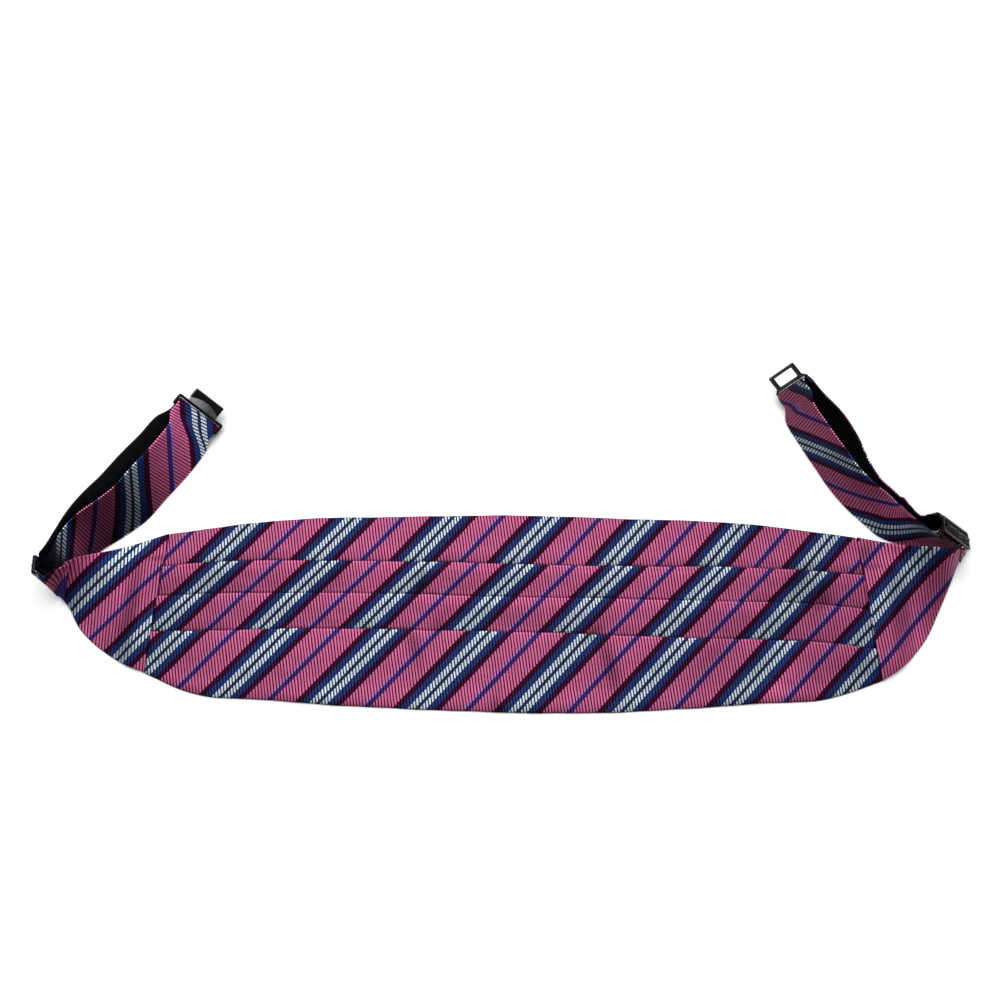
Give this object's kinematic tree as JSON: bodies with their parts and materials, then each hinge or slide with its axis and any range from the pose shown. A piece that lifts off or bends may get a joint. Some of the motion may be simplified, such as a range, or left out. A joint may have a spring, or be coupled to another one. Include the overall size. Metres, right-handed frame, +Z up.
{
  "type": "pleated cummerbund",
  "caption": "Pleated striped satin cummerbund with shaped ends, adjustable strap loops and a hook and eye closure.",
  "frame": {"origin": "middle of the part's box in plan, on the surface that the sash lies on", "axes": "+X along the sash towards the eye's end, +Y from the sash's lower edge to its upper edge, +Z up from the surface"},
  "size_m": [0.6018, 0.2258, 0.0392],
  "materials": {
    "striped_satin": "ribbed satin weave with diagonal stripes",
    "black_satin": "plain satin weave",
    "black_hardware": "semi-gloss black enamel"
  },
  "bodies": {
    "root": {"pleated_front": "striped_satin", "wing_left": "striped_satin", "strap_left": "striped_satin", "strap_lining_left": "black_satin", "slider_left": "black_hardware", "wing_right": "striped_satin", "strap_right": "striped_satin", "strap_lining_right": "black_satin", "slider_right": "black_hardware", "hook": "black_hardware", "eye": "black_hardware"}
  },
  "joints": []
}
